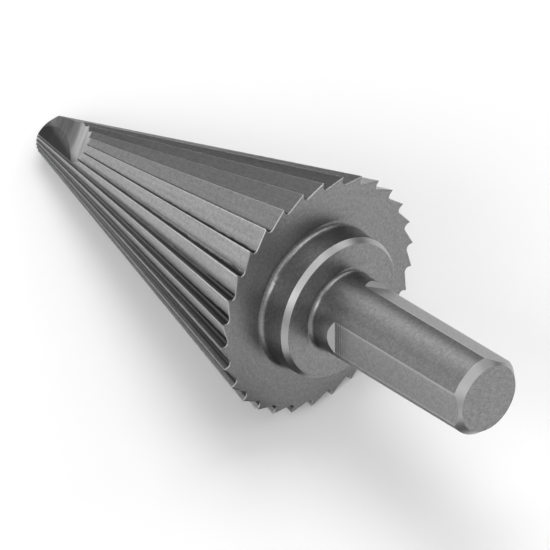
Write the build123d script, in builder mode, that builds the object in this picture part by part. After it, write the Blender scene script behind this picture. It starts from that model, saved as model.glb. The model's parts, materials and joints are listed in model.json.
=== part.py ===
from build123d import *
from math import atan, cos, radians, sin, tan
import os

# A cone drill bit turned and ground from one bar of tool steel: a toothed cone with a gashed point,
# a collar behind its large face, and a shank with flats for the chuck.
# It lies as it comes to rest, on two neighbouring cutting edges.
# Millimetres, +Z up, origin on the floor below the middle of the bit, +X from the point to the shank.

# Toothed cone
large_diameter = 30.5       # over the teeth, at the large face
small_diameter = 5.2        # over the teeth, at the rim of the point
cone_length = 47.0          # from the rim of the point to the large face
tooth_count = 30
tooth_depth = 1.15          # at the large face, to the sharp corner under the root fillet
tooth_root_radius = 0.45    # at the large face; it shrinks with the teeth towards the point
tooth_root_sides = 5        # the rounded root is this many narrow flat sides
edge_break = 0.12           # stoned off the outline of the large face

# Drill point and its two gashes
point_angle = 120.0         # included angle
gash_count = 2
gash_web = 3.4              # left between the flat sides of the two gashes, at the rim of the point
gash_turn = 181.0           # of the flat side, round the axis from the side that the bit rests on
gash_tilt = 8.5             # of the flat side, away from the axis as it runs back from the point
wheel_diameter = 26.2       # of the grinding wheel whose rim leaves the hollow ramp
wheel_height = 14.87        # of the wheel's axis, above the bit's axis
wheel_ahead = 1.8           # of the wheel's axis, in front of the rim of the point
wheel_turn = 277.0          # of the wheel's axis, round the bit's axis
wheel_tilt = 29.9           # of the wheel's axis, from square to the bit towards the shank

# Collar
collar_diameter = 18.0
collar_length = 4.1         # from the large face to the collar's own face
collar_chamfer_length = 0.7
collar_chamfer_width = 0.5
collar_fillet_radius = 0.6

# Shank
shank_diameter = 10.0
shank_length = 24.9         # from the collar's face to the end
shank_chamfer_length = 1.0
shank_chamfer_width = 0.8
shank_fillet_radius = 0.5

# Flats for the chuck's three jaws
flat_count = 3
flat_depth = 0.52
flat_turn = 16.3            # of the first flat, round the axis from the side that the bit rests on
neck_length = 3.65          # round shank between the collar's face and the full depth of a flat
flat_runout_length = 0.8    # of the slope in which a flat starts

large_radius = large_diameter / 2
small_radius = small_diameter / 2
collar_radius = collar_diameter / 2
shank_radius = shank_diameter / 2
end_length = collar_length + shank_length
point_end = cone_length + small_radius / tan(radians(point_angle / 2))

# The edges of the teeth are straight lines that meet at the apex, in front of the point
taper = (large_radius - small_radius) / cone_length
apex_length = large_radius / taper
tooth_pitch = 360 / tooth_count

# The floor touches the two edges at half a pitch each side, so it leans to the axis by a little less
# than the cone does
lean = atan(taper * cos(radians(tooth_pitch / 2)))
point_reach = point_end * cos(lean)
shank_reach = end_length * cos(lean) + (shank_radius - shank_chamfer_width) * sin(lean)

# The tool's own plane is its large face: x points to the floor, z along the axis to the shank
tool = Plane(
    origin=((point_reach - shank_reach) / 2, 0, apex_length * sin(lean)),
    x_dir=(sin(lean), 0, -cos(lean)),
    z_dir=(cos(lean), 0, sin(lean)),
)
bit_axis = Axis(tool.origin, tool.z_dir)


def lengthwise(turn):
    """The plane that holds the axis: x along it to the shank, y outwards at this turn from the floor."""
    outwards = tool.x_dir.rotate(bit_axis, turn)
    return Plane(tool.origin, x_dir=tool.z_dir, z_dir=tool.z_dir.cross(outwards))


def pointing(turn, tilt):
    """The direction outwards at this turn, tilted towards the shank."""
    side = lengthwise(turn)
    return side.y_dir * cos(radians(tilt)) + side.x_dir * sin(radians(tilt))


def gash(turn):
    """What the wheel takes away in one gash: its rim leaves the ramp, its face the flat side."""
    middle = lengthwise(gash_turn + turn)
    wheel_centre = middle.from_local_coords((-cone_length - wheel_ahead, wheel_height))
    flat_side_foot = middle.from_local_coords((-cone_length, gash_web / 2))
    with BuildPart() as cutter:
        with BuildSketch(Plane(wheel_centre, z_dir=pointing(wheel_turn + turn, wheel_tilt))):
            Circle(wheel_diameter / 2)
        extrude(amount=large_diameter, both=True)
        split(bisect_by=Plane(flat_side_foot, z_dir=pointing(gash_turn + turn, -gash_tilt)))
    return cutter.part


gashes = [gash(360 / gash_count * index) for index in range(gash_count)]

# One gullet at the large face: in along a tooth's steep side, round the root, out along the next tooth's back
tip = Vector(large_radius, 0)
with BuildLine() as gullet:
    Polyline(tip, (large_radius - tooth_depth, 0), tip.rotate(Axis.Z, -tooth_pitch))
    fillet(gullet.vertices().sort_by(SortBy.DISTANCE)[0], tooth_root_radius)
root_arc = gullet.edges().filter_by(GeomType.CIRCLE)[0]
root_corners = [root_arc @ (side / tooth_root_sides) for side in range(tooth_root_sides + 1)]
root_corners.sort(key=lambda corner: (corner - tip).length)

with BuildSketch(tool) as toothed_face:
    with BuildLine():
        Polyline(
            *[
                corner.rotate(Axis.Z, tooth_pitch * (0.5 - tooth))
                for tooth in range(tooth_count)
                for corner in [tip, *root_corners]
            ],
            close=True,
        )
    make_face()

with BuildPart() as cone_drill_bit:
    # Teeth, whose sides all run to the apex, turned down to the point in front
    apex = Vertex(*tool.from_local_coords((0, 0, -apex_length)))
    loft([apex, toothed_face.sketch], ruled=True)
    with BuildSketch(lengthwise(0)):
        with BuildLine():
            point_back = large_diameter / tan(radians(point_angle / 2)) - point_end
            Polyline(
                (-point_end, 0),
                (point_back, large_diameter),
                (cone_length, large_diameter),
                (cone_length, 0),
                close=True,
            )
        make_face()
    revolve(axis=bit_axis, mode=Mode.INTERSECT)
    add(gashes, mode=Mode.SUBTRACT)

    # Broken edge all round the large face
    large_face = faces().sort_by(bit_axis)[-1]
    chamfer(large_face.outer_wire().edges(), edge_break)

    # Collar
    with BuildSketch(tool):
        Circle(collar_radius)
    extrude(amount=collar_length)
    collar_base, collar_rim = edges(Select.LAST).filter_by(GeomType.CIRCLE).sort_by(bit_axis)
    collar_face = faces(Select.LAST).sort_by(bit_axis)[-1]
    chamfer(collar_rim, collar_chamfer_width, collar_chamfer_length, reference=collar_face)
    fillet(collar_base, collar_fillet_radius)

    # Shank
    with BuildSketch(tool.offset(collar_length)):
        Circle(shank_radius)
    extrude(amount=shank_length)
    shank_base, shank_rim = edges(Select.LAST).filter_by(GeomType.CIRCLE).sort_by(bit_axis)
    shank_face = faces(Select.LAST).sort_by(bit_axis)[-1]
    chamfer(shank_rim, shank_chamfer_width, shank_chamfer_length, reference=shank_face)
    fillet(shank_base, shank_fillet_radius)

    # Flats, each with a slope where it starts and open at the shank's end
    flat_start = collar_length + neck_length
    flat_level = shank_radius - flat_depth
    for index in range(flat_count):
        with BuildSketch(lengthwise(flat_turn + 360 / flat_count * index)):
            with BuildLine():
                Polyline(
                    (flat_start, flat_level),
                    (flat_start - 2 * flat_runout_length, flat_level + 2 * flat_depth),
                    (end_length + flat_depth, flat_level + 2 * flat_depth),
                    (end_length + flat_depth, flat_level),
                    close=True,
                )
            make_face()
        extrude(amount=shank_radius, both=True, mode=Mode.SUBTRACT)

cone_drill_bit.part.label = "cone_drill_bit"
os.makedirs("parts", exist_ok=True)
export_step(cone_drill_bit.part, "parts/cone_drill_bit.step")
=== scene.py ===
"""A cone drill bit of ground tool steel, lying on its teeth on a pale studio floor.

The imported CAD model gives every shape. This script gives the steel its finish, the floor, the light and
the camera. Lengths in the classes are millimetres; Blender's own are metres.
"""

from __future__ import annotations

import json
import logging
import math
from dataclasses import dataclass

import bpy
from mathutils import Matrix, Quaternion, Vector

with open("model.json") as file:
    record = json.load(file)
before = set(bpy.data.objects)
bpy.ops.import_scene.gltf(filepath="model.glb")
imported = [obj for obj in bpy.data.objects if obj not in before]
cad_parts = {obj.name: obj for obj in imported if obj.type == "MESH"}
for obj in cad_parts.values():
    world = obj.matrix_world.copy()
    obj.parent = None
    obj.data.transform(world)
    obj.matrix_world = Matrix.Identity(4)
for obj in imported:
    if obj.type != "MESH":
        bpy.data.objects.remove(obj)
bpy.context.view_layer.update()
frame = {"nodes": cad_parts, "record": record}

log = logging.getLogger("cone_drill_bit")

Tree = bpy.types.NodeTree
Socket = bpy.types.NodeSocket
Span = tuple[float, float]
Triple = tuple[float, float, float]

MM = 0.001

# The Mix node's sockets for numbers and for colours share their names, so they go by number
FACTOR, NUMBER_A, NUMBER_B, COLOUR_A, COLOUR_B = 0, 2, 3, 6, 7
NUMBER_OUT, COLOUR_OUT = 0, 2

# The level that every fine relief rises and falls about
MIDDLE = 0.5


def linear(colour: str) -> tuple[float, float, float, float]:
    """Turns an sRGB hex colour into the linear values that a socket takes.

    Args:
        colour: Six hex digits after a hash.

    Returns:
        Linear red, green and blue, and 1 for alpha.
    """
    parts = [int(colour[i : i + 2], 16) / 255 for i in (1, 3, 5)]
    red, green, blue = (c / 12.92 if c <= 0.04045 else ((c + 0.055) / 1.055) ** 2.4 for c in parts)
    return red, green, blue, 1.0


def add_node(tree: Tree, kind: str, links: dict | None = None, **settings) -> bpy.types.Node:
    """Adds a node with its settings and what feeds its sockets.

    Args:
        tree: The node tree that gets the node.
        kind: The node's type, such as ShaderNodeMath.
        links: Socket name or number to a value, or to the output socket or the node that feeds it. A
            node feeds it from its first output.
        settings: The node's own properties.

    Returns:
        The new node.
    """
    node = tree.nodes.new(kind)
    for name, value in settings.items():
        setattr(node, name, value)
    for key, value in (links or {}).items():
        if isinstance(value, bpy.types.Node):
            value = value.outputs[0]
        if isinstance(value, Socket):
            tree.links.new(value, node.inputs[key])
        else:
            node.inputs[key].default_value = value
    return node


@dataclass(frozen=True)
class BitFrame:
    """The bit's own axes and the sizes that its marks follow.

    The axes come from the mount on the shank's end. Lengths along the axis start at the cone's large face
    and grow towards the shank. Turns start at the side that the bit rests on. The sizes are those of the
    CAD model, and the wheel and the flat side are those of its first gash.
    """

    shank_end: float = 29.0
    large_radius: float = 15.25
    apex_length: float = 56.66
    tooth_count: int = 30
    shank_radius: float = 5.0
    flat_level: float = 4.48
    flat_start: float = 7.75
    flat_turn: float = 16.3
    flat_count: int = 3
    fillets: tuple[Span, ...] = ((0.0, 0.6), (4.1, 0.5))  # start and length along the axis
    wheel_radius: float = 13.1
    wheel_centre: Triple = (-14.868, -0.26, -48.8)
    wheel_axis: Triple = (0.1056, -0.8604, 0.4985)
    gash_side_foot: Triple = (-1.7, -0.03, -47.0)
    gash_side_normal: Triple = (-0.9889, -0.0173, -0.1478)

    @property
    def pitch(self) -> float:
        """Length of one tooth round the large face."""
        return math.tau * self.large_radius / self.tooth_count

    @property
    def axis(self) -> Vector:
        """Direction of the bit's axis, from the point to the shank."""
        return Vector(self._mount()["axis"]).normalized()

    @property
    def origin(self) -> Vector:
        """Centre of the large face, in metres."""
        return Vector(self._mount()["pos_m"]) - self.axis * self.shank_end * MM

    @property
    def turned(self) -> Matrix:
        """Turns the bit's own axes into the world's: x to the floor, y level, z along the axis."""
        side = Vector((0.0, 1.0, 0.0))
        return Matrix((side.cross(self.axis), side, self.axis)).transposed()

    def _mount(self) -> dict:
        """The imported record's mount on the shank's end."""
        return next(m for m in frame["record"]["mounts"] if m["name"] == "shank_end")


@dataclass(frozen=True)
class Place:
    """Where a shaded point is on the bit, and how far it faces the shank's end, as the outputs of nodes."""

    point: Socket
    along: Socket
    radius: Socket
    turn: Socket
    facing: Socket

    @classmethod
    def build(cls, tree: Tree, bit: BitFrame) -> Place:
        """Adds the nodes that turn object coordinates into the bit's own, in millimetres.

        Args:
            tree: The material's node tree.
            bit: The bit's axes.

        Returns:
            The place.
        """
        coordinates = add_node(tree, "ShaderNodeTexCoord")
        point = add_node(tree, "ShaderNodeMapping", {
            "Vector": coordinates.outputs["Object"],
            "Location": bit.origin,
            "Rotation": bit.turned.to_euler(),
            "Scale": (MM, MM, MM),
        }, vector_type="TEXTURE")
        parts = add_node(tree, "ShaderNodeSeparateXYZ", {0: point})
        outwards = add_node(tree, "ShaderNodeCombineXYZ", {
            "X": parts.outputs["X"],
            "Y": parts.outputs["Y"],
        })
        radius = add_node(tree, "ShaderNodeVectorMath", {0: outwards}, operation="LENGTH")
        turn = add_node(tree, "ShaderNodeMath", {
            0: parts.outputs["Y"],
            1: parts.outputs["X"],
        }, operation="ARCTAN2")
        facing = add_node(tree, "ShaderNodeVectorMath", {
            0: coordinates.outputs["Normal"],
            1: bit.axis,
        }, operation="DOT_PRODUCT")
        return cls(
            point=point.outputs[0],
            along=parts.outputs["Z"],
            radius=radius.outputs["Value"],
            turn=turn.outputs[0],
            facing=facing.outputs["Value"],
        )


@dataclass(frozen=True)
class ToothPlace:
    """Where a shaded point is on its tooth, with every tooth blown up to its size at the large face.

    Flat is the point seen along the axis. Drop is its depth below the cutting edges. Tooth counts the
    teeth round the bit, and is a whole number at each cutting edge.
    """

    flat: Socket
    drop: Socket
    tooth: Socket

    @classmethod
    def build(cls, tree: Tree, place: Place, bit: BitFrame) -> ToothPlace:
        """Adds the nodes that scale the place from the apex.

        Args:
            tree: The material's node tree.
            place: The shaded point.
            bit: The bit's sizes.

        Returns:
            The place on the tooth.
        """
        reach = add_node(tree, "ShaderNodeMath", {0: place.along, 1: bit.apex_length}, operation="ADD")
        grow = add_node(tree, "ShaderNodeMath", {0: bit.apex_length, 1: reach}, operation="DIVIDE")
        grown = add_node(tree, "ShaderNodeVectorMath", {0: place.point, "Scale": grow}, operation="SCALE")
        flat = add_node(tree, "ShaderNodeVectorMath", {0: grown, 1: (1.0, 1.0, 0.0)}, operation="MULTIPLY")
        size = add_node(tree, "ShaderNodeVectorMath", {0: flat}, operation="LENGTH")
        drop = add_node(tree, "ShaderNodeMath", {
            0: bit.large_radius,
            1: size.outputs["Value"],
        }, operation="SUBTRACT")
        # The bit rests on two edges, so the nearest edge is half a tooth from where the turns start
        tooth = add_node(tree, "ShaderNodeMath", {
            0: place.turn,
            1: bit.tooth_count / math.tau,
            2: 0.5,
        }, operation="MULTIPLY_ADD")
        return cls(flat.outputs[0], drop.outputs[0], tooth.outputs[0])


@dataclass(frozen=True)
class Marks:
    """What one way of cutting leaves: a fine relief, and the share of a point that it covers."""

    relief: Socket
    cover: Socket


@dataclass(frozen=True)
class ToothMarks(Marks):
    """The marks on the teeth, and how much a point is on a cutting edge with wear and a painted highlight,
    or in a root's painted shade.
    """

    worn_and_highlit: Socket
    painted_root_shade: Socket


@dataclass(frozen=True)
class GashMarks(Marks):
    """The marks in the gashes, and how much a point is darkened."""

    darkened: Socket


@dataclass(frozen=True)
class FlatMarks(Marks):
    """The marks where the flats start, and how much a point is on a flat at all."""

    on_flat: Socket


@dataclass(frozen=True)
class Turning:
    """Turned on a lathe, hardened, then ground round: the faces, the collar and the shank.

    The marks are rings round the axis. Real ones are about a twentieth of a millimetre apart, too fine to
    see. They're drawn as coarse as the picture needs, and give the cylinders a soft bloom and the faces a
    fine grain.
    """

    rings_per_mm: float = 3.5
    slant: float = 1.7  # how much faster the rings follow each other along the axis than outwards
    around: float = 0.9  # how fast a ring changes as it goes round

    def build(self, tree: Tree, place: Place) -> Socket:
        """Adds the nodes for the rings.

        Args:
            tree: The material's node tree.
            place: The shaded point.

        Returns:
            The relief.
        """
        across = add_node(tree, "ShaderNodeMath", {
            0: place.along,
            1: self.slant,
            2: place.radius,
        }, operation="MULTIPLY_ADD")
        east = add_node(tree, "ShaderNodeMath", {0: place.turn}, operation="COSINE")
        north = add_node(tree, "ShaderNodeMath", {0: place.turn}, operation="SINE")
        ring = add_node(tree, "ShaderNodeCombineXYZ", {"X": across, "Y": east, "Z": north})
        spread = add_node(tree, "ShaderNodeVectorMath", {
            0: ring,
            1: (1.0, self.around, self.around),
        }, operation="MULTIPLY")
        lines = add_node(tree, "ShaderNodeTexNoise", {
            "Vector": spread,
            "Scale": self.rings_per_mm,
            "Detail": 4.0,
            "Roughness": 0.65,
        })
        return lines.outputs["Fac"]


@dataclass(frozen=True)
class ToothGrinding:
    """A wheel run from the point to the large face, once for each tooth.

    Its marks run with the teeth, to the apex. The wheel's grit leaves some ten lines to a millimetre, which
    are drawn coarser so that they show. They give the tooth backs a fine brushed look and pull the
    reflections out sideways. Handling wears the cutting edges bright, and a painted highlight along each
    edge adds the light that it catches.

    Painted shade darkens each root beside its steep side, where the wheel's corner ran and shade falls.
    It is painted widest round one side of the bit, runs out over the backs near the large face, and is
    thinner along one line past the steep side.
    """

    lines_per_mm: float = 3.2
    waver_per_mm: float = 0.05
    end: float = -0.1  # along the axis, where the teeth meet the large face's broken edge
    edge_width: float = 0.27
    nicks_per_mm: float = 1.7
    nick_depth: float = 0.3
    shade_width: float = 0.36
    shade_top: float = 0.4  # depth below the cutting edges at which the painted root shade starts
    shade_top_blur: float = 0.4
    shade_blur: float = 0.25
    shade_wander: float = 0.7
    patches_per_mm: float = 1.8
    patch_stretch: float = 0.35
    wider_shade_side: float = 270.0  # turn of the side where the painted root shade is widest, in degrees
    wider_shade_reach: float = 48.7  # degrees each side of it
    wider_shade_spread: float = 0.7
    flare_spread: float = 0.3
    flare_along: Span = (-7.0, -1.0)
    flare_reach: Span = (56.63, 45.57)  # degrees, from none to all of it
    thinner_line: float = 0.36  # past the steep side
    thinner_width: float = 0.2875
    thinner_share: float = 0.75
    fade_along: Span = (-40.0, -6.0)
    fade_share: float = 0.4  # of the painted root shade, near the point

    def build(self, tree: Tree, place: Place, bit: BitFrame) -> ToothMarks:
        """Adds the nodes for the teeth.

        Args:
            tree: The material's node tree.
            place: The shaded point.
            bit: The bit's sizes.

        Returns:
            The marks.
        """
        spot = ToothPlace.build(tree, place, bit)
        waver = add_node(tree, "ShaderNodeVectorMath", {
            0: place.point,
            1: (0.0, 0.0, self.waver_per_mm / self.lines_per_mm),
        }, operation="MULTIPLY")
        run = add_node(tree, "ShaderNodeVectorMath", {0: spot.flat, 1: waver}, operation="ADD")
        lines = add_node(tree, "ShaderNodeTexNoise", {
            "Vector": run,
            "Scale": self.lines_per_mm,
            "Detail": 3.0,
            "Roughness": 0.6,
        })
        cover = add_node(tree, "ShaderNodeMath", {0: place.along, 1: self.end}, operation="LESS_THAN")
        # Cutting edges with wear and a painted highlight along them
        worn_and_highlit = add_node(tree, "ShaderNodeMath", {
            0: self._worn_highlit_edge(tree, place, bit, spot),
            1: cover,
        }, operation="MULTIPLY")
        # Painted shade in the roots
        painted_root_shade = add_node(tree, "ShaderNodeMath", {
            0: self._painted_root_shade(tree, place, bit, spot),
            1: cover,
        }, operation="MULTIPLY")
        return ToothMarks(lines.outputs["Fac"], cover.outputs[0], worn_and_highlit.outputs[0], painted_root_shade.outputs[0])

    def _worn_highlit_edge(self, tree: Tree, place: Place, bit: BitFrame, spot: ToothPlace) -> Socket:
        """Adds the nodes for each cutting edge's line of wear and painted highlight, which nicks make
        uneven.

        Args:
            tree: The material's node tree.
            place: The shaded point.
            bit: The bit's sizes.
            spot: The point's place on its tooth.

        Returns:
            How much a point has wear and a painted highlight.
        """
        beside = add_node(tree, "ShaderNodeMath", {0: spot.tooth, 1: 0.5}, operation="PINGPONG")
        sideways = add_node(tree, "ShaderNodeMath", {0: beside, 1: bit.pitch}, operation="MULTIPLY")
        off_edge = add_node(tree, "ShaderNodeCombineXYZ", {"X": spot.drop, "Y": sideways})
        distance = add_node(tree, "ShaderNodeVectorMath", {0: off_edge}, operation="LENGTH")
        nicks = add_node(tree, "ShaderNodeTexNoise", {
            "Vector": place.point,
            "Scale": self.nicks_per_mm,
            "Detail": 3.0,
        })
        ragged = add_node(tree, "ShaderNodeMath", {
            0: nicks.outputs["Fac"],
            1: -self.nick_depth,
            2: distance.outputs["Value"],
        }, operation="MULTIPLY_ADD")
        edge = add_node(tree, "ShaderNodeMapRange", {
            "Value": ragged,
            "From Min": self.edge_width - self.nick_depth * MIDDLE,
            "From Max": -self.nick_depth * MIDDLE,
        }, interpolation_type="SMOOTHSTEP")
        return edge.outputs[0]

    def _painted_root_shade(self, tree: Tree, place: Place, bit: BitFrame, spot: ToothPlace) -> Socket:
        """Adds the nodes for the painted shade in each root, beside its steep side.

        Args:
            tree: The material's node tree.
            place: The shaded point.
            bit: The bit's sizes.
            spot: The point's place on its tooth.

        Returns:
            How much painted shade a point has.
        """
        # How far past the steep side the point is, towards the back of the next tooth
        backwards = add_node(tree, "ShaderNodeMath", {0: spot.tooth, 1: -1.0}, operation="MULTIPLY")
        share = add_node(tree, "ShaderNodeMath", {0: backwards}, operation="FRACT")
        past = add_node(tree, "ShaderNodeMath", {0: share, 1: bit.pitch}, operation="MULTIPLY")

        # How far inside the edge of the painted shade, which wanders in patches drawn out along the teeth
        inside = add_node(tree, "ShaderNodeMath", {
            0: self._spread(tree, place),
            1: past,
        }, operation="SUBTRACT")
        drawn = add_node(tree, "ShaderNodeVectorMath", {
            0: place.point,
            1: (1.0, 1.0, self.patch_stretch),
        }, operation="MULTIPLY")
        patches = add_node(tree, "ShaderNodeTexNoise", {
            "Vector": drawn,
            "Scale": self.patches_per_mm,
            "Detail": 4.0,
        })
        wandering = add_node(tree, "ShaderNodeMath", {
            0: patches.outputs["Fac"],
            1: self.shade_wander,
            2: inside,
        }, operation="MULTIPLY_ADD")
        beside = add_node(tree, "ShaderNodeMapRange", {
            "Value": wandering,
            "From Min": self.shade_blur - self.shade_width,
            "From Max": 2 * self.shade_blur - self.shade_width,
        }, interpolation_type="SMOOTHSTEP")
        deep = add_node(tree, "ShaderNodeMapRange", {
            "Value": spot.drop,
            "From Min": self.shade_top,
            "From Max": self.shade_top + self.shade_top_blur,
        }, interpolation_type="SMOOTHSTEP")

        off_line = add_node(tree, "ShaderNodeMath", {0: past, 1: self.thinner_line}, operation="SUBTRACT")
        from_line = add_node(tree, "ShaderNodeMath", {0: off_line}, operation="ABSOLUTE")
        thinned = add_node(tree, "ShaderNodeMapRange", {
            "Value": from_line,
            "From Max": self.thinner_width,
            "To Min": self.thinner_share,
        }, interpolation_type="SMOOTHSTEP")
        fading = add_node(tree, "ShaderNodeMapRange", {
            "Value": place.along,
            "From Min": self.fade_along[0],
            "From Max": self.fade_along[1],
            "To Min": self.fade_share,
        })
        root_shade = beside
        for limit in (deep, thinned, fading):
            root_shade = add_node(tree, "ShaderNodeMath", {0: root_shade, 1: limit}, operation="MULTIPLY")
        return root_shade.outputs[0]

    def _spread(self, tree: Tree, place: Place) -> Socket:
        """Adds the nodes for how much further the painted root shade reaches on one side and in the flare.

        Args:
            tree: The material's node tree.
            place: The shaded point.

        Returns:
            The extra width, in millimetres.
        """
        off_side = add_node(tree, "ShaderNodeMath", {
            0: place.turn,
            1: math.radians(self.wider_shade_side),
        }, operation="SUBTRACT")
        towards = add_node(tree, "ShaderNodeMath", {0: off_side}, operation="COSINE")
        thick = add_node(tree, "ShaderNodeMapRange", {
            "Value": towards,
            "From Min": math.cos(math.radians(self.wider_shade_reach)),
            "From Max": 1.0,
            "To Max": self.wider_shade_spread,
        }, interpolation_type="SMOOTHSTEP")
        on_wider_side = add_node(tree, "ShaderNodeMapRange", {
            "Value": towards,
            "From Min": math.cos(math.radians(self.flare_reach[0])),
            "From Max": math.cos(math.radians(self.flare_reach[1])),
        }, interpolation_type="SMOOTHSTEP")
        flare = add_node(tree, "ShaderNodeMapRange", {
            "Value": place.along,
            "From Min": self.flare_along[0],
            "From Max": self.flare_along[1],
            "To Max": self.flare_spread,
        }, interpolation_type="SMOOTHSTEP")
        spread = add_node(tree, "ShaderNodeMath", {
            0: flare,
            1: on_wider_side,
            2: thick,
        }, operation="MULTIPLY_ADD")
        return spread.outputs[0]


@dataclass(frozen=True)
class GashGrinding:
    """A wheel fed by hand across the point, which leaves a hollow ramp and a flat side.

    Its feed shows as a few wide soft bands along the wheel's axis, and the outer part of both surfaces is
    darker. A half turn about the axis brings the second gash to the first.
    """

    bands_per_mm: float = 1.3
    stretch: float = 0.1
    margin: float = 0.04  # how near a point must be to the wheel's cut to count as on it
    dark_way: Triple = (0.0, -0.93, -0.37)  # the way in which the darkening grows
    dark_start: float = 16.7  # along that way
    dark_end: float = 17.6
    blotch: float = 0.8

    def build(self, tree: Tree, place: Place, bit: BitFrame) -> GashMarks:
        """Adds the nodes for both gashes.

        Args:
            tree: The material's node tree.
            place: The shaded point.
            bit: The bit's sizes.

        Returns:
            The marks.
        """
        parts = add_node(tree, "ShaderNodeSeparateXYZ", {0: place.point})
        which = add_node(tree, "ShaderNodeMath", {0: parts.outputs["X"]}, operation="SIGN")
        back = add_node(tree, "ShaderNodeMath", {0: which, 1: -1.0}, operation="MULTIPLY")
        half_turn = add_node(tree, "ShaderNodeCombineXYZ", {"X": back, "Y": back, "Z": 1.0})
        folded = add_node(tree, "ShaderNodeVectorMath", {
            0: place.point,
            1: half_turn,
        }, operation="MULTIPLY")
        on_wheel = add_node(tree, "ShaderNodeMapping", {
            "Vector": folded,
            "Location": bit.wheel_centre,
            "Rotation": Vector(bit.wheel_axis).to_track_quat("Z", "Y").to_euler(),
        }, vector_type="TEXTURE")
        cover = self._cover(tree, bit, folded.outputs[0], on_wheel.outputs[0])
        drawn = add_node(tree, "ShaderNodeVectorMath", {
            0: on_wheel,
            1: (1.0, 1.0, self.stretch),
        }, operation="MULTIPLY")
        bands = add_node(tree, "ShaderNodeTexNoise", {
            "Vector": drawn,
            "Scale": self.bands_per_mm,
            "Detail": 3.0,
            "Roughness": 0.55,
        })
        outwards = add_node(tree, "ShaderNodeVectorMath", {
            0: folded,
            1: self.dark_way,
        }, operation="DOT_PRODUCT")
        blotches = add_node(tree, "ShaderNodeMath", {
            0: bands.outputs["Fac"],
            1: self.blotch,
            2: outwards.outputs["Value"],
        }, operation="MULTIPLY_ADD")
        darker = add_node(tree, "ShaderNodeMapRange", {
            "Value": blotches,
            "From Min": self.dark_start + self.blotch * MIDDLE,
            "From Max": self.dark_end + self.blotch * MIDDLE,
        }, interpolation_type="SMOOTHSTEP")
        darkened = add_node(tree, "ShaderNodeMath", {0: darker, 1: cover}, operation="MULTIPLY")
        return GashMarks(bands.outputs["Fac"], cover, darkened.outputs[0])

    def _cover(self, tree: Tree, bit: BitFrame, folded: Socket, on_wheel: Socket) -> Socket:
        """Adds the nodes that find the ramp, on the wheel's rim, and the flat side, on its face.

        Args:
            tree: The material's node tree.
            bit: The bit's sizes.
            folded: The point, brought to the first gash.
            on_wheel: The same point from the wheel's centre, with z along its axis.

        Returns:
            Whether a point is on either of them.
        """
        rim = add_node(tree, "ShaderNodeVectorMath", {
            0: on_wheel,
            1: (1.0, 1.0, 0.0),
        }, operation="MULTIPLY")
        rim_radius = add_node(tree, "ShaderNodeVectorMath", {0: rim}, operation="LENGTH")
        at_rim = add_node(tree, "ShaderNodeMath", {
            0: rim_radius.outputs["Value"],
            1: bit.wheel_radius,
            2: self.margin,
        }, operation="COMPARE")
        within_rim = add_node(tree, "ShaderNodeMath", {
            0: rim_radius.outputs["Value"],
            1: bit.wheel_radius + self.margin,
        }, operation="LESS_THAN")
        from_foot = add_node(tree, "ShaderNodeVectorMath", {
            0: folded,
            1: bit.gash_side_foot,
        }, operation="SUBTRACT")
        above = add_node(tree, "ShaderNodeVectorMath", {
            0: from_foot,
            1: bit.gash_side_normal,
        }, operation="DOT_PRODUCT")
        at_side = add_node(tree, "ShaderNodeMath", {
            0: above.outputs["Value"],
            1: 0.0,
            2: self.margin,
        }, operation="COMPARE")
        past_side = add_node(tree, "ShaderNodeMath", {
            0: above.outputs["Value"],
            1: -self.margin,
        }, operation="GREATER_THAN")
        on_side = add_node(tree, "ShaderNodeMath", {0: at_side, 1: within_rim}, operation="MULTIPLY")
        on_ramp = add_node(tree, "ShaderNodeMath", {0: at_rim, 1: past_side}, operation="MULTIPLY")
        cover = add_node(tree, "ShaderNodeMath", {0: on_ramp, 1: on_side}, operation="MAXIMUM")
        return cover.outputs[0]


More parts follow.
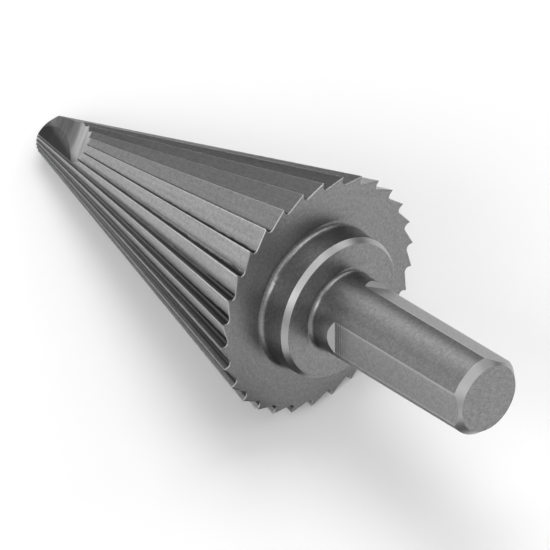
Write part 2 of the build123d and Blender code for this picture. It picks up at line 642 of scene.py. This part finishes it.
@dataclass(frozen=True)
class FlatMilling:
    """Where a cutter plunges into the shank to start a flat, it chatters before it steadies.

    That leaves a few fine dark lines across the start of each flat, which fade within three millimetres.
    They're drawn a little coarser than they are, so that they show.
    """

    lines_per_mm: float = 3.3
    line_depth: float = 0.2
    waver_per_mm: float = 0.8
    length: float = 2.6
    margin: float = 0.02  # how near a point must be to a flat's level to count as on it

    def build(self, tree: Tree, place: Place, bit: BitFrame) -> FlatMarks:
        """Adds the nodes for the lines.

        Args:
            tree: The material's node tree.
            place: The shaded point.
            bit: The bit's sizes.

        Returns:
            The marks.
        """
        on_flat = self._on_flat(tree, place, bit)
        fade = add_node(tree, "ShaderNodeMapRange", {
            "Value": place.along,
            "From Min": bit.flat_start + self.length,
            "From Max": bit.flat_start,
        })
        cover = add_node(tree, "ShaderNodeMath", {0: on_flat, 1: fade}, operation="MULTIPLY")
        uneven = add_node(tree, "ShaderNodeTexNoise", {
            "Vector": place.point,
            "Scale": self.waver_per_mm,
            "Detail": 2.0,
        })
        phase = add_node(tree, "ShaderNodeMath", {
            0: place.along,
            1: math.tau * self.lines_per_mm,
            2: uneven.outputs["Fac"],
        }, operation="MULTIPLY_ADD")
        wave = add_node(tree, "ShaderNodeMath", {0: phase}, operation="SINE")
        lines = add_node(tree, "ShaderNodeMath", {
            0: wave,
            1: self.line_depth,
            2: MIDDLE,
        }, operation="MULTIPLY_ADD")
        return FlatMarks(lines.outputs[0], cover.outputs[0], on_flat)

    def _on_flat(self, tree: Tree, place: Place, bit: BitFrame) -> Socket:
        """Adds the nodes that find the flats, all three folded onto the first.

        Args:
            tree: The material's node tree.
            place: The shaded point.
            bit: The bit's sizes.

        Returns:
            Whether a point is on one.
        """
        middle = math.radians(bit.flat_turn)
        half_share = math.pi / bit.flat_count
        folded = add_node(tree, "ShaderNodeMath", {
            0: place.turn,
            1: middle + half_share,
            2: middle - half_share,
        }, operation="WRAP")
        aside = add_node(tree, "ShaderNodeMath", {0: folded, 1: middle}, operation="SUBTRACT")
        lean = add_node(tree, "ShaderNodeMath", {0: aside}, operation="COSINE")
        level = add_node(tree, "ShaderNodeMath", {0: lean, 1: place.radius}, operation="MULTIPLY")
        at_level = add_node(tree, "ShaderNodeMath", {
            0: level,
            1: bit.flat_level,
            2: self.margin,
        }, operation="COMPARE")
        started = add_node(tree, "ShaderNodeMath", {
            0: place.along,
            1: bit.flat_start,
        }, operation="GREATER_THAN")
        on_flat = add_node(tree, "ShaderNodeMath", {0: at_level, 1: started}, operation="MULTIPLY")
        return on_flat.outputs[0]


@dataclass(frozen=True)
class EndGrinding:
    """The shank's end, squared off on a flat grinder, with faint straight scratches from rim to rim.

    The scratches are drawn as coarse as the picture needs.
    """

    lines_per_mm: float = 5.5
    across: Triple = (0.861, -0.508, 0.0)  # square to the scratches
    along: Triple = (0.076, 0.129, 0.0)  # with the scratches, short so that it draws them out
    margin: float = 0.05

    def build(self, tree: Tree, place: Place, bit: BitFrame) -> Marks:
        """Adds the nodes for the scratches.

        Args:
            tree: The material's node tree.
            place: The shaded point.
            bit: The bit's sizes.

        Returns:
            The marks.
        """
        over, run = (
            add_node(tree, "ShaderNodeVectorMath", {0: place.point, 1: way}, operation="DOT_PRODUCT")
            for way in (self.across, self.along)
        )
        drawn = add_node(tree, "ShaderNodeCombineXYZ", {
            "X": over.outputs["Value"],
            "Y": run.outputs["Value"],
        })
        lines = add_node(tree, "ShaderNodeTexNoise", {
            "Vector": drawn,
            "Scale": self.lines_per_mm,
            "Detail": 3.0,
        })
        cover = add_node(tree, "ShaderNodeMath", {
            0: place.along,
            1: bit.shank_end - self.margin,
        }, operation="GREATER_THAN")
        return Marks(lines.outputs["Fac"], cover.outputs[0])


@dataclass(frozen=True)
class Cuts:
    """What every way of cutting leaves on the bit. The rings are the relief wherever no other covers it."""

    rings: Socket
    teeth: ToothMarks
    gashes: GashMarks
    end: Marks
    flats: FlatMarks

    @classmethod
    def build(cls, tree: Tree, place: Place, bit: BitFrame) -> Cuts:
        """Adds the nodes for all the marks.

        Args:
            tree: The material's node tree.
            place: The shaded point.
            bit: The bit's sizes.

        Returns:
            The marks.
        """
        return cls(
            rings=Turning().build(tree, place),
            teeth=ToothGrinding().build(tree, place, bit),
            gashes=GashGrinding().build(tree, place, bit),
            end=EndGrinding().build(tree, place, bit),
            flats=FlatMilling().build(tree, place, bit),
        )


@dataclass(frozen=True)
class Surfaces:
    """How much a point shows wear and painted highlight, is in a fillet, or is on the shank's ground part.
    """

    worn_and_highlit: Socket
    fillet: Socket
    shank: Socket


@dataclass(frozen=True)
class GroundToolSteel:
    """High-speed steel, turned, hardened and then ground, with each surface's own marks.

    It is a plain grey metal with no blue or brown in it. Grinding leaves a satin face, whose reflections are
    soft. Hardening leaves the steel slightly clouded. Each pair of colours is its dark and its light one.
    """

    ground: tuple[str, str] = ("#8e8e8e", "#b0b0b0")
    turned: tuple[str, str] = ("#7a7a7a", "#9c9c9c")
    milled: tuple[str, str] = ("#909090", "#acacac")
    banded: tuple[str, str] = ("#989898", "#bcbcbc")
    sloped: str = "#aaaaaa"
    # Edge wear, lightened further as a painted highlight
    worn_and_highlit: str = "#d2d2d2"
    # Painted shade for the roots
    painted_root_shade: str = "#323232"
    grooved: str = "#5c5c5c"
    darkened: str = "#707070"
    clouds_per_mm: float = 2.4
    cloud_range: Span = (0.32, 0.68)
    grain_share: float = 0.3  # of the marks in the clouding
    end_grain_share: float = 0.42
    band_range: Span = (0.38, 0.62)
    groove_range: Span = (0.55, 0.4)
    face_facing: Span = (0.9, 0.99)
    chamfer_facing: float = 0.6  # share of the axis in a chamfer's normal
    chamfer_range: Span = (0.3, 0.1)
    shank_along: Span = (-2.5, 3.0)  # from where the flats start
    flat_edge: Span = (-0.16, -0.04)  # from the shank's radius
    flat_edge_wear: float = 0.45
    roughness: float = 0.34
    roughness_swing: float = 0.04
    relief_range: Span = (0.3, 0.7)
    worn_roughness: float = 0.26
    fillet_roughness: float = 0.37
    shank_roughness: float = 0.41
    relief: float = 0.0045  # height of the marks, as bump
    edge_radius: float = 0.07  # to which a sharp edge is rounded in the shading

    def make(self, bit: BitFrame) -> bpy.types.Material:
        """Builds the steel's material.

        Args:
            bit: The axes and sizes that the marks follow.

        Returns:
            The material.
        """
        material = bpy.data.materials.new("ground_tool_steel")
        material.use_nodes = True
        tree = material.node_tree
        tree.nodes.clear()
        place = Place.build(tree, bit)
        cuts = Cuts.build(tree, place, bit)
        surfaces = self._surfaces(tree, place, bit, cuts)
        relief = self._relief(tree, cuts)
        rounded = add_node(tree, "ShaderNodeBevel", {"Radius": self.edge_radius * MM}, samples=6)
        bump = add_node(tree, "ShaderNodeBump", {
            "Strength": 1.0,
            "Distance": self.relief * MM,
            "Height": relief,
            "Normal": rounded,
        })
        shader = add_node(tree, "ShaderNodeBsdfPrincipled", {
            "Base Color": self._colour(tree, place, cuts, surfaces, relief),
            "Metallic": 1.0,
            "Roughness": self._roughness(tree, surfaces, relief),
            "Normal": bump,
        })
        add_node(tree, "ShaderNodeOutputMaterial", {"Surface": shader.outputs["BSDF"]})
        return material

    def _relief(self, tree: Tree, cuts: Cuts) -> Socket:
        """Adds the nodes that lay the later cuts over the rings.

        Args:
            tree: The material's node tree.
            cuts: The marks.

        Returns:
            The relief of all of them.
        """
        relief = cuts.rings
        for marks in (cuts.teeth, cuts.gashes, cuts.end, cuts.flats):
            layer = add_node(tree, "ShaderNodeMix", {
                FACTOR: marks.cover,
                NUMBER_A: relief,
                NUMBER_B: marks.relief,
            })
            relief = layer.outputs[NUMBER_OUT]
        return relief

    def _surfaces(self, tree: Tree, place: Place, bit: BitFrame, cuts: Cuts) -> Surfaces:
        """Adds the nodes that find the edges with wear and painted highlight, the fillets and the shank.

        Args:
            tree: The material's node tree.
            place: The shaded point.
            bit: The bit's sizes.
            cuts: The marks.

        Returns:
            The surfaces.
        """
        not_gashed = add_node(tree, "ShaderNodeMath", {0: 1.0, 1: cuts.gashes.cover}, operation="SUBTRACT")
        tooth_edge = add_node(tree, "ShaderNodeMath", {
            0: cuts.teeth.worn_and_highlit,
            1: not_gashed,
        }, operation="MULTIPLY")
        flat_rim = add_node(tree, "ShaderNodeMapRange", {
            "Value": place.radius,
            "From Min": bit.shank_radius + self.flat_edge[0],
            "From Max": bit.shank_radius + self.flat_edge[1],
        })
        flat_edge = add_node(tree, "ShaderNodeMath", {
            0: flat_rim,
            1: cuts.flats.on_flat,
        }, operation="MULTIPLY")
        # Edges of the teeth and flats with wear, painted bright as a highlight too
        worn_and_highlit = add_node(tree, "ShaderNodeMath", {
            0: flat_edge,
            1: self.flat_edge_wear,
            2: tooth_edge,
        }, operation="MULTIPLY_ADD", use_clamp=True)

        at_collar, at_shank = (
            add_node(tree, "ShaderNodeMath", {
                0: place.along,
                1: start + length / 2,
                2: length / 2,
            }, operation="COMPARE")
            for start, length in bit.fillets
        )
        fillet = add_node(tree, "ShaderNodeMath", {0: at_collar, 1: at_shank}, operation="MAXIMUM")
        shank = add_node(tree, "ShaderNodeMapRange", {
            "Value": place.along,
            "From Min": bit.flat_start + self.shank_along[0],
            "From Max": bit.flat_start + self.shank_along[1],
        }, interpolation_type="SMOOTHSTEP")
        return Surfaces(worn_and_highlit.outputs[0], fillet.outputs[0], shank.outputs[0])

    def _clouding(self, tree: Tree, place: Place, cuts: Cuts, relief: Socket) -> Socket:
        """Adds the nodes for the clouding, which the marks show through.

        Args:
            tree: The material's node tree.
            place: The shaded point.
            cuts: The marks.
            relief: The relief of all of them.

        Returns:
            How light a point is within its pair of colours.
        """
        cloud = add_node(tree, "ShaderNodeTexNoise", {
            "Vector": place.point,
            "Scale": self.clouds_per_mm,
            "Detail": 3.0,
            "Roughness": 1.0,
        })
        share = add_node(tree, "ShaderNodeMix", {
            FACTOR: cuts.end.cover,
            NUMBER_A: self.grain_share,
            NUMBER_B: self.end_grain_share,
        })
        streak = add_node(tree, "ShaderNodeMath", {0: relief, 1: MIDDLE}, operation="SUBTRACT")
        grain = add_node(tree, "ShaderNodeMath", {
            0: streak,
            1: share.outputs[NUMBER_OUT],
            2: cloud.outputs["Fac"],
        }, operation="MULTIPLY_ADD")
        clouding = add_node(tree, "ShaderNodeMapRange", {
            "Value": grain,
            "From Min": self.cloud_range[0],
            "From Max": self.cloud_range[1],
        })
        return clouding.outputs[0]

    def _turned_only(self, tree: Tree, place: Place, surfaces: Surfaces) -> Socket:
        """Adds the nodes that find what wasn't ground after turning: square faces, collar and neck.

        Args:
            tree: The material's node tree.
            place: The shaded point.
            surfaces: The surfaces, for the shank.

        Returns:
            How much a point is on one of them.
        """
        square = add_node(tree, "ShaderNodeMapRange", {
            "Value": place.facing,
            "From Min": self.face_facing[0],
            "From Max": self.face_facing[1],
        })
        behind = add_node(tree, "ShaderNodeMath", {0: place.along, 1: 0.0}, operation="GREATER_THAN")
        before = add_node(tree, "ShaderNodeMath", {0: 1.0, 1: surfaces.shank}, operation="SUBTRACT")
        collar = add_node(tree, "ShaderNodeMath", {0: behind, 1: before}, operation="MULTIPLY")
        either = add_node(tree, "ShaderNodeMath", {0: square, 1: collar}, operation="MAXIMUM")
        return either.outputs[0]

    def _chamfers(self, tree: Tree, place: Place, surfaces: Surfaces) -> Socket:
        """Adds the nodes that find the chamfers, by how far they face the shank's end.

        Args:
            tree: The material's node tree.
            place: The shaded point.
            surfaces: The surfaces, for the fillets, which face that way too.

        Returns:
            How much a point is on a chamfer.
        """
        off = add_node(tree, "ShaderNodeMath", {
            0: place.facing,
            1: self.chamfer_facing,
        }, operation="SUBTRACT")
        apart = add_node(tree, "ShaderNodeMath", {0: off}, operation="ABSOLUTE")
        sloped = add_node(tree, "ShaderNodeMapRange", {
            "Value": apart,
            "From Min": self.chamfer_range[0],
            "From Max": self.chamfer_range[1],
        })
        chamfer = add_node(tree, "ShaderNodeMath", {
            0: sloped,
            1: surfaces.fillet,
        }, operation="SUBTRACT", use_clamp=True)
        return chamfer.outputs[0]

    def _colour(self, tree: Tree, place: Place, cuts: Cuts, surfaces: Surfaces, relief: Socket) -> Socket:
        """Adds the nodes that lay the colours over each other.

        Args:
            tree: The material's node tree.
            place: The shaded point.
            cuts: The marks.
            surfaces: The surfaces.
            relief: The relief of all the marks.

        Returns:
            The colour.
        """
        clouding = self._clouding(tree, place, cuts, relief)
        banding = add_node(tree, "ShaderNodeMapRange", {
            "Value": cuts.gashes.relief,
            "From Min": self.band_range[0],
            "From Max": self.band_range[1],
        })
        ground, milled, turned, banded = (
            add_node(tree, "ShaderNodeMix", {
                FACTOR: lightness,
                COLOUR_A: linear(dark),
                COLOUR_B: linear(light),
            }, data_type="RGBA").outputs[COLOUR_OUT]
            for lightness, (dark, light) in (
                (clouding, self.ground),
                (clouding, self.milled),
                (clouding, self.turned),
                (banding, self.banded),
            )
        )
        darkened_bands = add_node(tree, "ShaderNodeMix", {
            FACTOR: cuts.gashes.darkened,
            COLOUR_A: banded,
            COLOUR_B: linear(self.darkened),
        }, data_type="RGBA")
        low = add_node(tree, "ShaderNodeMapRange", {
            "Value": cuts.flats.relief,
            "From Min": self.groove_range[0],
            "From Max": self.groove_range[1],
        })
        groove = add_node(tree, "ShaderNodeMath", {0: low, 1: cuts.flats.cover}, operation="MULTIPLY")
        colour = ground
        for share, over in (
            (cuts.flats.on_flat, milled),
            (self._turned_only(tree, place, surfaces), turned),
            (self._chamfers(tree, place, surfaces), linear(self.sloped)),
            # Painted highlight over the edge wear
            (surfaces.worn_and_highlit, linear(self.worn_and_highlit)),
            # Painted shade in the roots
            (cuts.teeth.painted_root_shade, linear(self.painted_root_shade)),
            (groove, linear(self.grooved)),
            (cuts.gashes.cover, darkened_bands.outputs[COLOUR_OUT]),
        ):
            layer = add_node(tree, "ShaderNodeMix", {
                FACTOR: share,
                COLOUR_A: colour,
                COLOUR_B: over,
            }, data_type="RGBA")
            colour = layer.outputs[COLOUR_OUT]
        return colour

    def _roughness(self, tree: Tree, surfaces: Surfaces, relief: Socket) -> Socket:
        """Adds the nodes for how blurred each surface reflects.

        Args:
            tree: The material's node tree.
            surfaces: The surfaces.
            relief: The relief of all the marks.

        Returns:
            The roughness.
        """
        satin = add_node(tree, "ShaderNodeMapRange", {
            "Value": relief,
            "From Min": self.relief_range[0],
            "From Max": self.relief_range[1],
            "To Min": self.roughness + self.roughness_swing,
            "To Max": self.roughness - self.roughness_swing,
        })
        roughness = satin.outputs[0]
        for share, over in (
            (surfaces.shank, self.shank_roughness),
            (surfaces.worn_and_highlit, self.worn_roughness),
            (surfaces.fillet, self.fillet_roughness),
        ):
            layer = add_node(tree, "ShaderNodeMix", {FACTOR: share, NUMBER_A: roughness, NUMBER_B: over})
            roughness = layer.outputs[NUMBER_OUT]
        return roughness


@dataclass(frozen=True)
class ConeDrillBit:
    """The bit itself, whose mesh is the CAD model's and stays as it is."""

    bit: BitFrame = BitFrame()
    steel: GroundToolSteel = GroundToolSteel()

    def dress(self) -> None:
        """Gives the CAD node the steel's material in every slot."""
        node = frame["nodes"]["cone_drill_bit"]
        steel = self.steel.make(self.bit)
        for slot in node.material_slots:
            slot.material = steel
        log.info("%s dressed in %s", node.name, steel.name)


@dataclass(frozen=True)
class MattPaint:
    """White emulsion paint, rolled onto board: even and quite matt, so it holds a soft shadow and no shine.

    The paint has a little light of its own for whatever looks straight at it, the camera and the steel's
    reflections, so that the floor is white away from the shadow without more light on the bit.
    """

    colour: str = "#f6f6f6"
    roughness: float = 0.9
    lift: float = 0.1
    lift_colour: str = "#ffffff"

    def make(self) -> bpy.types.Material:
        """Builds the paint's material.

        Returns:
            The material.
        """
        material = bpy.data.materials.new("matt_white_paint")
        material.use_nodes = True
        tree = material.node_tree
        tree.nodes.clear()
        paint = add_node(tree, "ShaderNodeBsdfPrincipled", {
            "Base Color": linear(self.colour),
            "Roughness": self.roughness,
        })
        path = add_node(tree, "ShaderNodeLightPath")
        seen = path.outputs["Is Camera Ray"]
        for other in ("Is Glossy Ray", "Is Transmission Ray"):
            either = add_node(tree, "ShaderNodeMath", {0: seen, 1: path.outputs[other]}, operation="MAXIMUM")
            seen = either.outputs[0]
        strength = add_node(tree, "ShaderNodeMath", {0: seen, 1: self.lift}, operation="MULTIPLY")
        glow = add_node(tree, "ShaderNodeEmission", {
            "Color": linear(self.lift_colour),
            "Strength": strength,
        })
        both = add_node(tree, "ShaderNodeAddShader", {0: paint.outputs["BSDF"], 1: glow})
        add_node(tree, "ShaderNodeOutputMaterial", {"Surface": both})
        return material


@dataclass(frozen=True)
class DyedCard:
    """Dark card, dyed through and left uncoated, so it is matt and shows in steel as a plain dark patch."""

    colour: str
    roughness: float = 0.95

    def make(self) -> bpy.types.Material:
        """Builds the card's material.

        Returns:
            The material.
        """
        material = bpy.data.materials.new("dyed_card")
        material.use_nodes = True
        shader = material.node_tree.nodes["Principled BSDF"]
        shader.inputs["Base Color"].default_value = linear(self.colour)
        shader.inputs["Roughness"].default_value = self.roughness
        return material


@dataclass(frozen=True)
class SoftLamp:
    """One softbox, placed by its direction from the bit and facing it.

    Azimuth is in degrees from +X towards +Y, elevation in degrees above the floor.
    """

    name: str
    azimuth: float
    elevation: float
    width: float
    height: float
    radiance: float
    distance: float = 700.0

    def build(self, aim: Vector) -> None:
        """Makes the lamp.

        Args:
            aim: The point that the lamp faces, in metres.
        """
        across, up = math.radians(self.azimuth), math.radians(self.elevation)
        back = Vector((math.cos(across) * math.cos(up), math.sin(across) * math.cos(up), math.sin(up)))
        data = bpy.data.lights.new(self.name, "AREA")
        data.shape = "RECTANGLE"
        data.size = self.width * MM
        data.size_y = self.height * MM
        data.energy = self.radiance * math.pi * data.size * data.size_y
        lamp = bpy.data.objects.new(self.name, data)
        lamp.location = aim + back * self.distance * MM
        lamp.rotation_mode = "QUATERNION"
        lamp.rotation_quaternion = (-back).to_track_quat("-Z", "Y")
        bpy.context.scene.collection.objects.link(lamp)


@dataclass(frozen=True)
class DarkCard:
    """A dark card near the bit, which only the steel's reflections see. Corners are in order round it."""

    name: str
    finish: DyedCard
    corners: tuple[Triple, ...]

    def build(self) -> None:
        """Makes the card."""
        mesh = bpy.data.meshes.new(self.name)
        mesh.from_pydata([Vector(corner) * MM for corner in self.corners], [], [(0, 1, 2, 3)])
        card = bpy.data.objects.new(self.name, mesh)
        bpy.context.scene.collection.objects.link(card)
        card.visible_camera = card.visible_diffuse = card.visible_shadow = False
        mesh.materials.append(self.finish.make())


@dataclass(frozen=True)
class Studio:
    """A pale floor under softboxes: high ones before and behind, others at the sides, and low fills.

    One dark card stands low behind the bit and one lies beside its shank. They give the steel its darks.
    """

    floor_size: float = 4000.0
    floor_paint: MattPaint = MattPaint()
    sky_colour: str = "#666666"
    aim_height: float = 15.0
    lamps: tuple[SoftLamp, ...] = (
        # name, azimuth, elevation, width, height, radiance
        SoftLamp("back_softbox", 135.0, 66.0, 430.0, 400.0, 3.6),
        SoftLamp("front_softbox", 0.0, 66.0, 800.0, 400.0, 1.25),
        SoftLamp("left_softbox", -90.0, 38.0, 430.0, 330.0, 3.15),
        SoftLamp("side_softbox", -50.0, 38.0, 380.0, 330.0, 1.2),
        SoftLamp("right_softbox", 90.0, 38.0, 430.0, 330.0, 1.5),
        SoftLamp("rear_fill", 174.0, 32.0, 640.0, 440.0, 0.58),
        SoftLamp("front_fill", 0.0, 12.0, 360.0, 360.0, 1.1),
        SoftLamp("side_fill", -60.0, 12.0, 360.0, 360.0, 0.45),
        SoftLamp("left_fill", -150.0, 12.0, 360.0, 360.0, 0.8),
    )
    cards: tuple[DarkCard, ...] = (
        DarkCard("back_card", DyedCard("#3c3c3c"), (
            (-115.5, 5.5, 0.0),
            (-25.5, 112.8, 0.0),
            (-25.5, 112.8, 10.0),
            (-115.5, 5.5, 42.0),
        )),
        DarkCard("left_card", DyedCard("#444444"), (
            (2.0, -9.0, 0.5),
            (56.0, -3.0, 0.5),
            (56.0, -25.0, 0.5),
            (2.0, -25.0, 0.5),
        )),
    )

    def build(self) -> None:
        """Makes the floor, the world's light, the lamps and the cards."""
        self._lay_floor()
        world = bpy.data.worlds.new("studio")
        bpy.context.scene.world = world
        world.use_nodes = True
        world.node_tree.nodes["Background"].inputs["Color"].default_value = linear(self.sky_colour)
        for lamp in self.lamps:
            lamp.build(Vector((0.0, 0.0, self.aim_height * MM)))
        for card in self.cards:
            card.build()
        log.info("studio built: floor, %d lamps and %d dark cards", len(self.lamps), len(self.cards))

    def _lay_floor(self) -> None:
        """Makes the floor."""
        mesh = bpy.data.meshes.new("floor")
        half = self.floor_size * MM / 2
        corners = [(-half, -half, 0), (half, -half, 0), (half, half, 0), (-half, half, 0)]
        mesh.from_pydata(corners, [], [(0, 1, 2, 3)])
        floor = bpy.data.objects.new("floor", mesh)
        bpy.context.scene.collection.objects.link(floor)
        mesh.materials.append(self.floor_paint.make())


@dataclass(frozen=True)
class PhotoCamera:
    """A long lens at the photograph's angle, about 54 degrees above the floor.

    Azimuth is in degrees from -Y towards +X, and it looks at the aim from that side.
    """

    azimuth: float = 45.99
    elevation: float = 54.06
    roll: float = -0.37
    distance: float = 1166.3
    focal_length: float = 654.5
    aim: Triple = (3.96, -2.23, 16.09)

    def build(self) -> None:
        """Makes the camera and sets it as the scene's."""
        across, up = math.radians(self.azimuth), math.radians(self.elevation)
        back = Vector((math.sin(across) * math.cos(up), -math.cos(across) * math.cos(up), math.sin(up)))
        data = bpy.data.cameras.new("camera")
        data.lens = self.focal_length
        camera = bpy.data.objects.new("camera", data)
        camera.location = (Vector(self.aim) + back * self.distance) * MM
        camera.rotation_mode = "QUATERNION"
        level = (-back).to_track_quat("-Z", "Y")
        camera.rotation_quaternion = level @ Quaternion((0.0, 0.0, 1.0), math.radians(self.roll))
        bpy.context.scene.collection.objects.link(camera)
        bpy.context.scene.camera = camera
        log.info("camera built")


def main() -> None:
    """Dresses the bit and builds the studio round it."""
    logging.basicConfig(level=logging.INFO)
    bpy.context.scene.view_settings.view_transform = "Standard"
    ConeDrillBit().dress()
    Studio().build()
    PhotoCamera().build()


if __name__ == "__main__":
    main()
